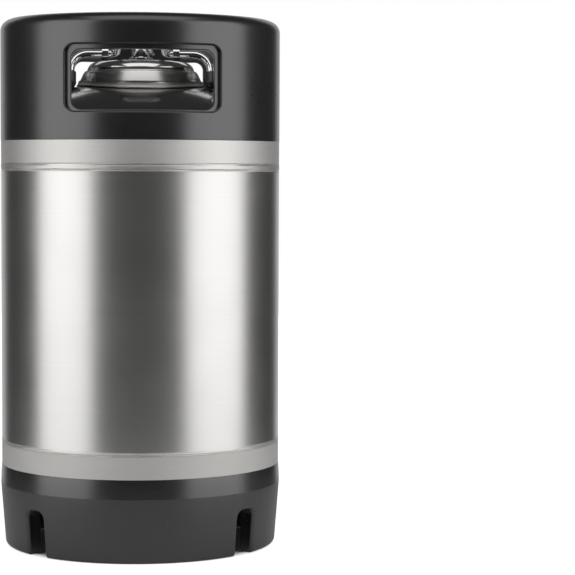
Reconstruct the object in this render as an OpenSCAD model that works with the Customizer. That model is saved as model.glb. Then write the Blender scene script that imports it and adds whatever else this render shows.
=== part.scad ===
// Small soda keg with a moulded top ring, a moulded boot, two ball-lock posts and an oval clamped lid.
// Millimetres, +Z up, the floor at z = 0 and the keg's axis at x = y = 0.
// The front hand-hold faces -Y, the gas post stands towards -X and the liquid post towards +X.

/* [Steel vessel] */
// Outside radius of the steel wall
shell_r = 110.8; // [95:0.1:130]
// Thickness of the steel sheet
wall = 1.2; // [0.8:0.1:2]
// Height of the seam between the boot and the steel
boot_seam_z = 65; // [55:1:90]
// Height of the seam between the steel and the top ring
ring_seam_z = 321; // [220:1:560]
// Outside radius of the crown of each dished head
crown_r = 185; // [175:1:240]
// Outside radius of the knuckle of each dished head
knuckle_r = 26; // [20:1:34]
// Distance from the top ring's seam down to the middle of the upper girth weld
upper_weld_inset = 20.4; // [12:0.1:30]
// Width of the upper girth weld
upper_weld_w = 6.5; // [2:0.1:8]
// Distance from the boot's seam up to the middle of the lower girth weld
lower_weld_inset = 18.9; // [10:0.1:30]
// Width of the lower girth weld
lower_weld_w = 3.2; // [2:0.1:8]
// How far the girth welds stand proud of the steel
weld_proud = 0.18; // [0.1:0.02:0.5]

/* [Top ring] */
// Outside radius of the top ring
ring_r = 111; // [95.5:0.1:131]
// Height of the top ring above its seam
ring_h = 95.5; // [80:0.5:120]
// Radius of the top ring's outer corner
ring_corner_r = 9; // [4:0.5:12]
// Width of each hand-hold's clear opening
grip_w = 107.5; // [80:0.5:120]
// Height of each hand-hold's clear opening
grip_h = 45; // [30:0.5:55]
// Height of a hand-hold's sill above the seam
grip_sill = 23; // [22:0.5:30]
// Corner radius of a hand-hold
grip_corner_r = 7; // [3:0.5:15]
// Width of the recessed frame at each side of a hand-hold
frame_side = 5; // [2:0.5:8]
// Width of the recessed frame above a hand-hold
frame_top = 4; // [2:0.5:8]
// Width of the recessed frame below a hand-hold
frame_foot = 1.5; // [1:0.5:4]
// Depth of the recessed frame
frame_deep = 3.5; // [1:0.5:6]

/* [Boot] */
// Largest radius of the boot
boot_r = 111.7; // [96:0.1:132]
// Radius of the boot at the floor
boot_foot_r = 107.8; // [92:0.1:128]
// Height at which the boot starts to taper
boot_break_z = 49.8; // [40:0.1:58]
// Inside radius of the boot at the floor
boot_inner_r = 97; // [80:0.5:110]
// Width of a drain notch
notch_w = 18; // [10:0.5:30]
// Height of a drain notch
notch_h = 35.5; // [15:0.5:38]
// Angle of each drain notch from the front or the back
notch_a = 48; // [30:1:60]
// Turn of the boot about the keg's axis
boot_turn = -1; // [-20:1:20]

/* [Hatch] */
// Half the width of the oval opening
hatch_x = 43.7; // [40:0.1:46]
// Half the length of the oval opening
hatch_y = 53.7; // [50:0.1:58]
// Radius of the oval's end arcs
hatch_end_r = 38; // [34:0.5:39]
// Thickness of the neck ring's wall
neck_wall = 5.8; // [4:0.1:6]
// Height of the neck ring's top above the seam
neck_rise = 55.5; // [54:0.5:58]
// Height of the neck ring's sealing face above the seam
land_rise = 31; // [28:0.5:33]
// Thickness of the lid's sheet
lid_wall = 1.6; // [1.2:0.1:2]
// Height of the lid's top above the seam
lid_rise = 63; // [62:0.5:66]
// Radius of the lid's shoulder
lid_shoulder_r = 8; // [5:0.5:9]

/* [Bail] */
// Radius of the bail's rod
rod_r = 2.75; // [2:0.05:3]
// Height of the bail's pivot above the lid
pivot_rise = 7; // [6.5:0.5:9]
// Distance of each bracket from the middle
bracket_x = 28.2; // [26:0.1:31]
// Distance of each leg of the bail from the middle
leg_x = 55.5; // [54:0.5:57]
// Forward lean of the clamped bail's legs
leg_lean = 20; // [15:1:30]
// Upward tilt of the clamped bail's handle
handle_tilt = 16; // [10:1:20]
// Length of the bail's handle
handle_l = 43.5; // [35:0.5:48]
// Radius of the rubber feet
foot_r = 4.4; // [3.5:0.1:4.6]

/* [Posts] */
// Distance of each post from the keg's axis
post_x = 75; // [73:0.5:77]
// Radius of a post's plug, where a quick disconnect seals
post_r = 8.25; // [8.2:0.05:8.3]
// Width across the flats of a post
post_flats = 22.2; // [20:0.1:23]
// Radius of the studs that the posts screw on
stud_r = 7.5; // [7:0.1:7.6]
// Radius of the dip tubes
tube_r = 3.95; // [3:0.05:4.1]
// Turn of the liquid dip tube's lower end towards the middle
tube_turn = 50; // [30:1:60]

/* [Hidden] */
// Smoothness of round surfaces
$fn = 96;
// Clearance of pieces that slide or turn in one another
running = 0.05;
// Overshoot of a cut past the surface it leaves
over = 1;
// Where two curved pieces of one solid meet end to end, one is larger by this and the other runs into it
swell = 0.02;
lap = 0.3;

// The dished heads
knuckle_x = shell_r - knuckle_r;
crown_z = ring_seam_z - sqrt(pow(crown_r - knuckle_r, 2) - pow(knuckle_x, 2));
break_a = asin(knuckle_x / (crown_r - knuckle_r));
break_r = crown_r * sin(break_a);
upper_flange_h = upper_weld_inset - upper_weld_w / 2;
lower_flange_h = lower_weld_inset - lower_weld_w / 2;
knuckle_n = 10;
crown_n = 16;
seam_sum = ring_seam_z + boot_seam_z;

// The top ring
ring_top = ring_seam_z + ring_h;
ring_lip_r = 4;
ring_draft = 0.8;
grip_z = ring_seam_z + grip_sill;

// The boot
boot_foot_round = 3.5;
boot_lip_r = shell_r + 0.1;
boot_step_z = 36;
boot_shoulder_z = boot_break_z + 9;
boot_shoulder_r = boot_r - 0.3;

// The oval hatch: end arcs of radius hatch_end_r and side arcs of radius side_r, tangent to each other
end_c = hatch_y - hatch_end_r;
side_r = (end_c * end_c + hatch_x * hatch_x - hatch_end_r * hatch_end_r) / (2 * (hatch_x - hatch_end_r));
side_c = side_r - hatch_x;
side_a = atan2(end_c, side_c);
neck_top = ring_seam_z + neck_rise;
land_z = ring_seam_z + land_rise;
land_w = 8;
land_h = 4;
neck_round = 4.6;
neck_inner_round = 1;

// The lid: distances from the opening's edge, positive outwards
lid_gap = 1;
lid_top = ring_seam_z + lid_rise;
seal_r = 3.5;
seal_h = 6.6;
seal_d = 2.65;
lid_flange_d = 6.5;
lid_flange_h = 2;
lid_flange_z = land_z - running - seal_h - lid_flange_h;
plate_d = -lid_gap - lid_shoulder_r;
lid_flat = 11;
lid_disc_r = hatch_x + plate_d - 0.5;

// The bail
pivot_z = lid_top + pivot_rise;
bracket_w = 5.8;
bracket_half_y = 5.5;
bracket_r = 6.2;
arm_x = 19.5;
arm_top_x = 16.5;
bend_r = 5.5;
leg_bend_r = 14;
handle_bend_r = 8;
arm_a = atan2(handle_l, arm_x - arm_top_x);
arm_foot_t = bend_r * tan(arm_a / 2);
arm_top_t = handle_bend_r * tan(arm_a / 2);
foot_gap = 0.3;
foot_l = 9;
// Distance from the pivot to the middle of a foot's round end, which stays foot_gap above the dome
leg_b = 2 * cos(leg_lean) * (pivot_z - crown_z);
leg_c = leg_x * leg_x + pow(pivot_z - crown_z, 2) - pow(crown_r + foot_r + foot_gap, 2);
leg_l = (leg_b - sqrt(leg_b * leg_b - 4 * leg_c)) / 2;

// The relief valve, heights above the lid
prv_hole_r = 6.35;
prv_tube_r = 6.3;
prv_hex_r = 9.8;
prv_hex_h = 4;
prv_barrel_r = 7.3;
prv_barrel_h = 12;
prv_cap_h = 3;
prv_deep = 18;
prv_seat_deep = 13;
prv_bore_r = 4.7;
prv_port_r = 3.2;
prv_vent_r = 1.2;
prv_vent_a = 32;
prv_vent_z = 5.5;
prv_stem_r = 2;
prv_collar_r = 4.1;
prv_collar_h = 2;
prv_seat_h = 3;
prv_eye_z = 17;
prv_eye_r = 3;
prv_eye_w = 3;
prv_eye_hole_r = 1.35;
prv_ring_r = 7.2;
prv_ring_wire = 0.9;
prv_ring_droop = 45;
prv_gasket_h = 1.2;
prv_gasket_r = 10.5;
prv_nut_h = 4.6;
prv_nut_r = 11.5;

// The posts, heights above the seam
fitting_r = 9.8;
fitting_bore_r = 4.2;
fitting_foot = 26;
fitting_top = 41.5;
stud_top = 49.6;
post_hex_top = 50;
chamber_z = 53.2;
chamber_r = 4.9;
chamber_top = 67.5;
post_top = 72;
post_chamfer = 0.8;
post_neck_r = 7.6;
post_neck_z = 53;
post_neck_top = 58.5;
groove_z = 64;
groove_h = 2.9;
groove_r = 6.05;
post_oring_r = 1.31;
pin_hole_r = 2.7;
collar_r = 6.8;
collar_h = 2;
collar_oring_r = 0.89;
collar_oring_mid = 5.3;
tube_wall = 0.7;
gas_tube_l = 46;
tube_bend_r = 30;
tube_corner_z = 66;
tube_end_l = 69;
poppet_flange_r = 4.5;
poppet_flange_h = 3;
poppet_pin_r = 2.2;
poppet_pin_top = 71.6;
poppet_guide_r = 2.7;
poppet_guide_h = 5.5;

// The coil springs
spring_steps = 20;
spring_sides = 6;
poppet_spring_mid = 3.9;
poppet_spring_wire = 0.45;
poppet_spring_turns = 6;
prv_spring_mid = 3.4;
prv_spring_wire = 0.5;
prv_spring_turns = 8;

// Colours
steel = [0.78, 0.79, 0.80];
satin = [0.68, 0.68, 0.67];
bead = [0.60, 0.60, 0.60];
rubber = [0.07, 0.07, 0.08];
seal_black = [0.05, 0.05, 0.05];
chrome = [0.85, 0.86, 0.88];
spring_steel = [0.55, 0.56, 0.58];

// ---------- shared shapes ----------

function arc(c, r, a0, a1, n) =
    [for (i = [0:n]) c + r * [cos(a0 + (a1 - a0) * i / n), sin(a0 + (a1 - a0) * i / n)]];

// Outline of a rounded rectangle that stands on the line y = 0
function arch(w, h, r, n) = concat(
    arc([w / 2 - r, r], r, -90, 0, n),
    arc([w / 2 - r, h - r], r, 0, 90, n),
    arc([r - w / 2, h - r], r, 90, 180, n),
    arc([r - w / 2, r], r, 180, 270, n));

module pipe(r, hole, h) {
    difference() {
        cylinder(r = r, h = h);
        translate([0, 0, -over])
            cylinder(r = hole, h = h + 2 * over);
    }
}

module torus(mid, r) {
    rotate_extrude()
        translate([mid, 0])
            circle(r = r);
}

// A profile, given as [distance from the opening's edge, height], carried around the oval.
// The first child is the profile of the end arcs, and the second the slightly larger one of the side arcs.
module oval_sweep() {
    lap_a = lap / hatch_end_r * 180 / PI;
    for (s = [0, 180])
        rotate([0, 0, s]) {
            translate([0, end_c, 0])
                rotate([0, 0, side_a - lap_a])
                    rotate_extrude(angle = 180 - 2 * (side_a - lap_a))
                        translate([hatch_end_r, 0])
                            children(0);
            translate([-side_c, 0, 0])
                rotate([0, 0, -side_a])
                    rotate_extrude(angle = 2 * side_a)
                        translate([side_r, 0])
                            children(1);
        }
}

// A solid oval whose edge lies at distance d from the opening's edge
module oval_solid(d, h) {
    half_y = end_c + (hatch_end_r + d) * sin(side_a);
    intersection() {
        translate([-side_c, 0, 0])
            cylinder(r = side_r + d + swell, h = h);
        translate([side_c, 0, 0])
            cylinder(r = side_r + d + swell, h = h);
        translate([-hatch_x - d - over, -half_y, 0])
            cube([2 * (hatch_x + d + over), 2 * half_y, h]);
    }
    for (s = [-1, 1])
        translate([0, s * end_c, 0])
            cylinder(r = hatch_end_r + d, h = h);
}

// Height of a coil's centre line after t turns
function coil_z(t, turns, wire, h) =
    let (pitch = 2.1 * wire, low = wire + pitch, high = h - wire - pitch)
    t < 1 ? wire + pitch * t :
    t > turns - 1 ? high + pitch * (t - turns + 1) :
    low + (high - low) * (t - 1) / (turns - 2);

// A coil spring with one closed turn at each end
module coil(mid, wire, turns, h) {
    n = turns * spring_steps;
    m = spring_sides;
    points = [for (i = [0:n], j = [0:m - 1])
        let (t = i / spring_steps, a = 360 * t, b = 360 * j / m + 90, r = mid + wire * cos(b))
        [r * cos(a), r * sin(a), coil_z(t, turns, wire, h) + wire * sin(b)]];
    sides = [for (i = [0:n - 1], j = [0:m - 1], k = [0, 1])
        let (a = i * m + j, b = i * m + (j + 1) % m)
        k == 0 ? [a, a + m, b] : [b, a + m, b + m]];
    start = [[for (j = [0:m - 1]) j]];
    finish = [[for (j = [m - 1:-1:0]) n * m + j]];
    polyhedron(points = points, faces = concat(sides, start, finish));
}

// ---------- steel vessel ----------

// The sheet of a head, standing as the top one: crown, knuckle and straight flange
module head_sheet(flange_h) {
    rotate_extrude()
        polygon(concat(
            arc([0, crown_z], crown_r, 90, 90 - break_a, crown_n),
            arc([knuckle_x, ring_seam_z], knuckle_r, 90 - break_a, 0, knuckle_n),
            [[shell_r, ring_seam_z - flange_h], [shell_r - wall, ring_seam_z - flange_h]],
            arc([knuckle_x, ring_seam_z], knuckle_r - wall, 0, 90 - break_a, knuckle_n),
            arc([0, crown_z], crown_r - wall, 90 - break_a, 90, crown_n)));
}

module top_head() {
    color(satin)
        difference() {
            head_sheet(upper_flange_h);
            translate([0, 0, land_z])
                oval_solid(neck_wall, neck_rise);
            for (s = [-1, 1])
                translate([s * post_x, 0, ring_seam_z])
                    cylinder(r = fitting_r, h = ring_h);
        }
}

module bottom_head() {
    color(satin)
        translate([0, 0, seam_sum])
            mirror([0, 0, 1])
                head_sheet(lower_flange_h);
}

module body_shell() {
    low = boot_seam_z + lower_weld_inset + lower_weld_w / 2;
    high = ring_seam_z - upper_weld_inset - upper_weld_w / 2;
    color(steel)
        translate([0, 0, low])
            pipe(shell_r, shell_r - wall, high - low);
}

module girth_weld(z, w) {
    color(bead)
        translate([0, 0, z])
            rotate_extrude()
                polygon([[shell_r - wall, -w / 2], [shell_r, -w / 2],
                         [shell_r + weld_proud, -w / 4], [shell_r + weld_proud, w / 4],
                         [shell_r, w / 2], [shell_r - wall, w / 2]]);
}

module upper_weld() {
    girth_weld(ring_seam_z - upper_weld_inset, upper_weld_w);
}

module lower_weld() {
    girth_weld(boot_seam_z + lower_weld_inset, lower_weld_w);
}

function neck_outline(e) = concat(
    [[-e, land_z], [land_w + e, land_z], [land_w + e, land_z + land_h + e], [neck_wall + e, land_z + land_h + e]],
    arc([neck_wall - neck_round, neck_top - neck_round], neck_round + e, 0, 90, 8),
    arc([neck_inner_round, neck_top - neck_inner_round], neck_inner_round + e, 90.1, 180, 4));

// The thick ring around the hatch, passed up through the head from inside and welded to it
module neck_ring() {
    color(steel)
        oval_sweep() {
            polygon(neck_outline(0));
            polygon(neck_outline(swell));
        }
}

// ---------- moulded rubber ----------

module grip_cut(w, h, z) {
    translate([0, ring_r + over, z])
        rotate([90, 0, 0])
            linear_extrude(height = 2 * (ring_r + over))
                polygon(arch(w, h, grip_corner_r, 6));
}

module ring_body() {
    rotate_extrude()
        polygon(concat(
            [[ring_r, ring_seam_z]],
            arc([ring_r - ring_corner_r, ring_top - ring_corner_r], ring_corner_r, 0, 90, 10),
            arc([break_r + ring_draft + ring_lip_r, ring_top - ring_lip_r], ring_lip_r, 90.1, 180, 6),
            arc([knuckle_x, ring_seam_z], knuckle_r, 90 - break_a, 0, knuckle_n)));
}

module top_chime() {
    frame_w = grip_w + 2 * frame_side;
    frame_h = grip_h + frame_top + frame_foot;
    color(rubber)
        difference() {
            ring_body();
            grip_cut(grip_w, grip_h, grip_z);
            difference() {
                grip_cut(frame_w, frame_h, grip_z - frame_foot);
                translate([0, 0, ring_seam_z])
                    cylinder(r = ring_r - frame_deep, h = ring_h);
            }
        }
}

module boot_body() {
    rotate_extrude()
        polygon(concat(
            [[boot_inner_r, 0]],
            arc([boot_foot_r - boot_foot_round, boot_foot_round], boot_foot_round, -90, -5, 5),
            [[boot_r, boot_break_z], [boot_shoulder_r, boot_shoulder_z], [boot_lip_r, boot_seam_z]],
            arc([knuckle_x, boot_seam_z], knuckle_r, 0, break_a - 90, knuckle_n),
            [[boot_inner_r, boot_step_z]]));
}

module bottom_boot() {
    notch_round = 6;
    color(rubber)
        rotate([0, 0, boot_turn])
            difference() {
                boot_body();
                for (a = [notch_a, 180 - notch_a, 180 + notch_a, 360 - notch_a])
                    rotate([0, 0, a])
                        translate([0, -boot_inner_r + 2 * over, -notch_round])
                            rotate([90, 0, 0])
                                linear_extrude(height = boot_r)
                                    polygon(arch(notch_w, notch_h + notch_round, notch_round, 6));
            }
}

// ---------- posts ----------

// A hollow stud, welded in a hole of the head
module fitting(s) {
    color(steel)
        translate([s * post_x, 0, ring_seam_z])
            difference() {
                union() {
                    translate([0, 0, fitting_foot])
                        cylinder(r = fitting_r, h = fitting_top - fitting_foot);
                    translate([0, 0, fitting_top - over])
                        cylinder(r = stud_r, h = stud_top - fitting_top + over);
                }
                translate([0, 0, fitting_foot - over])
                    cylinder(r = fitting_bore_r, h = stud_top - fitting_foot + 2 * over);
            }
}

module gas_fitting() {
    fitting(-1);
}

module liquid_fitting() {
    fitting(1);
}

// Outline of the plug above the hex, with the waist for the balls and the groove for the O-ring
module post_plug() {
    rotate_extrude()
        polygon([[0, post_hex_top - over], [post_r, post_hex_top - over], [post_r, post_neck_z],
                 [post_neck_r, post_neck_z + 1], [post_neck_r, post_neck_top - 1], [post_r, post_neck_top],
                 [post_r, groove_z], [groove_r, groove_z], [groove_r, groove_z + groove_h],
                 [post_r, groove_z + groove_h], [post_r, post_top - post_chamfer],
                 [post_r - post_chamfer, post_top], [0, post_top]]);
}

module post_body(s) {
    hex_h = post_hex_top - fitting_top;
    translate([s * post_x, 0, ring_seam_z])
        difference() {
            union() {
                translate([0, 0, fitting_top])
                    rotate([0, 0, 30])
                        cylinder(r = post_flats / 2 / cos(30), h = hex_h, $fn = 6);
                post_plug();
            }
            translate([0, 0, fitting_top - over])
                cylinder(r = stud_r + running, h = chamber_z - fitting_top + over);
            cylinder(r = chamber_r, h = chamber_top);
            translate([0, 0, chamber_top - over])
                cylinder(r = pin_hole_r, h = post_top - chamber_top + 2 * over);
        }
}

// The gas post is told from the liquid post by the groove around its hex
module gas_post() {
    groove_mid = (fitting_top + post_hex_top) / 2;
    color(steel)
        difference() {
            post_body(-1);
            translate([-post_x, 0, ring_seam_z + groove_mid])
                rotate_extrude()
                    polygon([[post_flats / 2 + 0.4, 0], [post_flats, -2.2], [post_flats, 2.2]]);
        }
}

module liquid_post() {
    color(steel)
        post_body(1);
}

module post_oring(s) {
    color(seal_black)
        translate([s * post_x, 0, ring_seam_z + groove_z + groove_h / 2])
            torus(groove_r + post_oring_r, post_oring_r);
}

module gas_post_oring() {
    post_oring(-1);
}

module liquid_post_oring() {
    post_oring(1);
}

// The flattened O-ring between the stud and the dip tube's collar
module tube_oring(s) {
    h = chamber_z - collar_h - stud_top;
    color(seal_black)
        translate([s * post_x, 0, ring_seam_z + stud_top])
            rotate_extrude()
                intersection() {
                    translate([collar_oring_mid, h / 2])
                        circle(r = collar_oring_r);
                    translate([0, 0])
                        square([stud_r, h]);
                }
}

module gas_tube_oring() {
    tube_oring(-1);
}

module liquid_tube_oring() {
    tube_oring(1);
}

module gas_dip_tube() {
    top = ring_seam_z + chamber_z;
    color(steel)
        translate([-post_x, 0, 0])
            difference() {
                union() {
                    translate([0, 0, top - collar_h])
                        cylinder(r = collar_r, h = collar_h);
                    translate([0, 0, top - gas_tube_l])
                        cylinder(r = tube_r, h = gas_tube_l - over);
                }
                translate([0, 0, top - gas_tube_l - over])
                    cylinder(r = tube_r - tube_wall, h = gas_tube_l + 2 * over);
            }
}

// The liquid tube's path, filled to radius r: straight down, one bend, and on towards the middle
module tube_path(r, extra) {
    reach = tube_bend_r * tan(tube_turn / 2);
    bend_z = tube_corner_z + reach;
    top = ring_seam_z + chamber_z - over + 2 * extra;
    translate([0, 0, bend_z - lap])
        cylinder(r = r, h = top - bend_z + lap);
    translate([-tube_bend_r, 0, bend_z])
        rotate([-90, 0, 0])
            rotate_extrude(angle = tube_turn)
                translate([tube_bend_r, 0])
                    circle(r = r + swell);
    translate([(lap - reach) * sin(tube_turn), 0, tube_corner_z + (lap - reach) * cos(tube_turn)])
        rotate([0, 180 + tube_turn, 0])
            cylinder(r = r, h = tube_end_l - reach + lap + extra);
}

module liquid_dip_tube() {
    color(steel)
        translate([post_x, 0, 0])
            difference() {
                union() {
                    tube_path(tube_r, 0);
                    translate([0, 0, ring_seam_z + chamber_z - collar_h])
                        cylinder(r = collar_r, h = collar_h);
                }
                tube_path(tube_r - tube_wall, over);
            }
}

module poppet(s) {
    top = ring_seam_z + chamber_top - running;
    color(chrome)
        translate([s * post_x, 0, 0]) {
            translate([0, 0, top - poppet_flange_h])
                cylinder(r = poppet_flange_r, h = poppet_flange_h);
            translate([0, 0, top - poppet_flange_h - poppet_guide_h])
                cylinder(r = poppet_guide_r, h = poppet_guide_h + over);
            translate([0, 0, top - over])
                cylinder(r = poppet_pin_r, h = ring_seam_z + poppet_pin_top - top + over);
        }
}

module gas_poppet() {
    poppet(-1);
}

module liquid_poppet() {
    poppet(1);
}

module poppet_spring(s) {
    h = chamber_top - running - poppet_flange_h - chamber_z;
    color(spring_steel)
        translate([s * post_x, 0, ring_seam_z + chamber_z])
            coil(poppet_spring_mid, poppet_spring_wire, poppet_spring_turns, h);
}

module gas_poppet_spring() {
    poppet_spring(-1);
}

module liquid_poppet_spring() {
    poppet_spring(1);
}

// ---------- lid ----------

// Half section of the lid: a flange under the seal, a wall through the opening, a shoulder and a flat top
function lid_outline(e) = concat(
    [[-lid_gap - lid_wall - e, lid_flange_z - e], [lid_flange_d + e, lid_flange_z - e],
     [lid_flange_d + e, lid_flange_z + lid_flange_h], [e - lid_gap, lid_flange_z + lid_flange_h]],
    arc([plate_d, lid_top - lid_shoulder_r - e], lid_shoulder_r + e, 0, 90, 10),
    [[plate_d - lid_flat, lid_top], [plate_d - lid_flat, lid_top - lid_wall - e]],
    arc([plate_d, lid_top - lid_shoulder_r], lid_shoulder_r - lid_wall - e, 90, 0, 10));

module lid_plate() {
    color(steel)
        difference() {
            union() {
                oval_sweep() {
                    polygon(lid_outline(0));
                    polygon(lid_outline(swell));
                }
                translate([0, 0, lid_top - lid_wall])
                    cylinder(r = lid_disc_r, h = lid_wall);
            }
            translate([0, 0, lid_top - lid_wall - over])
                cylinder(r = prv_hole_r, h = lid_wall + 2 * over);
        }
}

module seal_outline(e) {
    translate([seal_d, lid_flange_z + lid_flange_h + seal_h / 2])
        intersection() {
            circle(r = seal_r + e);
            square([3 * seal_r, seal_h], center = true);
        }
}

module lid_seal() {
    color(seal_black)
        oval_sweep() {
            seal_outline(0);
            seal_outline(swell);
        }
}

module bail_bracket(s) {
    color(chrome)
        translate([s * bracket_x - bracket_w / 2, 0, 0])
            difference() {
                union() {
                    translate([0, 0, pivot_z])
                        rotate([0, 90, 0])
                            cylinder(r = bracket_r, h = bracket_w);
                    translate([0, -bracket_half_y, lid_top])
                        cube([bracket_w, 2 * bracket_half_y, pivot_rise]);
                }
                translate([-over, 0, pivot_z])
                    rotate([0, 90, 0])
                        cylinder(r = rod_r + running, h = bracket_w + 2 * over);
                translate([-over, -bracket_r - over, lid_top - over])
                    cube([bracket_w + 2 * over, 2 * (bracket_r + over), over]);
            }
}

module bail_bracket_left() {
    bail_bracket(-1);
}

module bail_bracket_right() {
    bail_bracket(1);
}

// A straight piece of rod in the XY plane, which runs into the bend at each end
module rod(a, b) {
    d = b - a;
    translate([a.x, a.y, 0])
        rotate([0, 0, atan2(d.y, d.x)])
            translate([-lap, 0, 0])
                rotate([0, 90, 0])
                    cylinder(r = rod_r, h = norm(d) + 2 * lap);
}

// A bent piece of rod in the XY plane
module elbow(c, bend, a0, sweep) {
    translate([c.x, c.y, 0])
        rotate([0, 0, a0])
            rotate_extrude(angle = sweep)
                translate([bend, 0])
                    circle(r = rod_r + swell);
}

// One arm of the handle, drawn flat, with the bends at its foot and its top
module handle_arm() {
    u = [-cos(arm_a), sin(arm_a)];
    elbow([arm_x + arm_foot_t, bend_r], bend_r, 270 - arm_a, arm_a);
    rod([arm_x, 0] + arm_foot_t * u, [arm_top_x, handle_l] - arm_top_t * u);
    elbow([arm_top_x - arm_top_t, handle_l - handle_bend_r], handle_bend_r, 90 - arm_a, arm_a);
}

module half_bail() {
    rod([arm_x + arm_foot_t, 0], [leg_x - leg_bend_r, 0]);
    rotate([180 - handle_tilt, 0, 0])
        handle_arm();
    rotate([-90 - leg_lean, 0, 0]) {
        elbow([leg_x - leg_bend_r, leg_bend_r], leg_bend_r, -90, 90);
        rod([leg_x, leg_bend_r], [leg_x, leg_l - lap]);
    }
}

module lid_bail() {
    color(chrome)
        translate([0, 0, pivot_z]) {
            half_bail();
            mirror([1, 0, 0])
                half_bail();
            rotate([180 - handle_tilt, 0, 0])
                rod([arm_top_t - arm_top_x, handle_l], [arm_top_x - arm_top_t, handle_l]);
        }
}

// A rubber foot pushed over the end of a leg, round where it presses on the dome
module bail_foot(s) {
    color(rubber)
        translate([s * leg_x, 0, pivot_z])
            rotate([-90 - leg_lean, 0, 0])
                difference() {
                    union() {
                        translate([0, leg_l, 0])
                            sphere(r = foot_r);
                        translate([0, leg_l, 0])
                            rotate([90, 0, 0])
                                cylinder(r = foot_r - 0.2, h = foot_l);
                    }
                    translate([0, leg_l, 0])
                        rotate([90, 0, 0])
                            cylinder(r = rod_r, h = foot_l + over);
                }
}

module bail_foot_left() {
    bail_foot(-1);
}

module bail_foot_right() {
    bail_foot(1);
}

// ---------- relief valve ----------

module prv_body() {
    bore_h = prv_barrel_h - prv_cap_h + prv_seat_deep;
    color(chrome)
        translate([0, 0, lid_top])
            difference() {
                union() {
                    translate([0, 0, -prv_deep])
                        cylinder(r = prv_tube_r, h = prv_deep + over);
                    cylinder(r = prv_hex_r, h = prv_hex_h, $fn = 6);
                    translate([0, 0, prv_hex_h - over])
                        cylinder(r = prv_barrel_r, h = prv_barrel_h - prv_hex_h + over);
                }
                translate([0, 0, -prv_deep - over])
                    cylinder(r = prv_port_r, h = prv_deep);
                translate([0, 0, -prv_seat_deep])
                    cylinder(r = prv_bore_r, h = bore_h);
                translate([0, 0, prv_barrel_h - prv_cap_h - over])
                    cylinder(r = prv_stem_r + running, h = prv_cap_h + 2 * over);
                for (a = [prv_vent_a, -prv_vent_a, 180 - prv_vent_a, 180 + prv_vent_a])
                    rotate([0, 0, a])
                        translate([0, 0, prv_vent_z])
                            rotate([90, 0, 0])
                                cylinder(r = prv_vent_r, h = prv_barrel_r + over);
            }
}

module prv_gasket() {
    color(seal_black)
        translate([0, 0, lid_top - lid_wall - prv_gasket_h])
            pipe(prv_gasket_r, prv_tube_r, prv_gasket_h);
}

module prv_nut() {
    color(steel)
        translate([0, 0, lid_top - lid_wall - prv_gasket_h - prv_nut_h])
            difference() {
                cylinder(r = prv_nut_r, h = prv_nut_h, $fn = 6);
                translate([0, 0, -over])
                    cylinder(r = prv_tube_r, h = prv_nut_h + 2 * over);
            }
}

// The plunger's rod, with the collar that carries the spring and the eye for the pull ring
module prv_stem() {
    low = prv_seat_deep + over;
    collar_z = -prv_seat_deep + running + prv_seat_h;
    color(chrome)
        translate([0, 0, lid_top])
            difference() {
                union() {
                    translate([0, 0, -low])
                        cylinder(r = prv_stem_r, h = low + prv_eye_z - 1);
                    translate([0, 0, collar_z])
                        cylinder(r = prv_collar_r, h = prv_collar_h);
                    translate([0, prv_eye_w / 2, prv_eye_z])
                        rotate([90, 0, 0])
                            cylinder(r = prv_eye_r, h = prv_eye_w);
                }
                translate([0, prv_stem_r + over, prv_eye_z])
                    rotate([90, 0, 0])
                        cylinder(r = prv_eye_hole_r, h = 2 * (prv_stem_r + over));
            }
}

module prv_seat() {
    color(seal_black)
        translate([0, 0, lid_top - prv_seat_deep + running])
            pipe(prv_bore_r - 0.3, prv_stem_r, prv_seat_h);
}

module prv_spring() {
    low = -prv_seat_deep + running + prv_seat_h + prv_collar_h;
    color(spring_steel)
        translate([0, 0, lid_top + low])
            coil(prv_spring_mid, prv_spring_wire, prv_spring_turns, prv_barrel_h - prv_cap_h - low);
}

module prv_pull_ring() {
    color(chrome)
        translate([0, 0, lid_top + prv_eye_z])
            rotate([0, prv_ring_droop, 0])
                translate([prv_ring_r, 0, 0])
                    torus(prv_ring_r, prv_ring_wire);
}

top_head();
body_shell();
bottom_head();
upper_weld();
lower_weld();
neck_ring();
top_chime();
bottom_boot();
gas_fitting();
liquid_fitting();
gas_post();
liquid_post();
gas_poppet();
liquid_poppet();
gas_poppet_spring();
liquid_poppet_spring();
gas_post_oring();
liquid_post_oring();
gas_dip_tube();
liquid_dip_tube();
gas_tube_oring();
liquid_tube_oring();
lid_plate();
lid_seal();
bail_bracket_left();
bail_bracket_right();
lid_bail();
bail_foot_left();
bail_foot_right();
prv_body();
prv_nut();
prv_gasket();
prv_stem();
prv_spring();
prv_seat();
prv_pull_ring();
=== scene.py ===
"""Looks of a small soda keg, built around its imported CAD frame. Metres, +Z up, front hand-hold towards -Y."""

import math

import bmesh
import bpy
from mathutils import Matrix, Vector, noise


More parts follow.
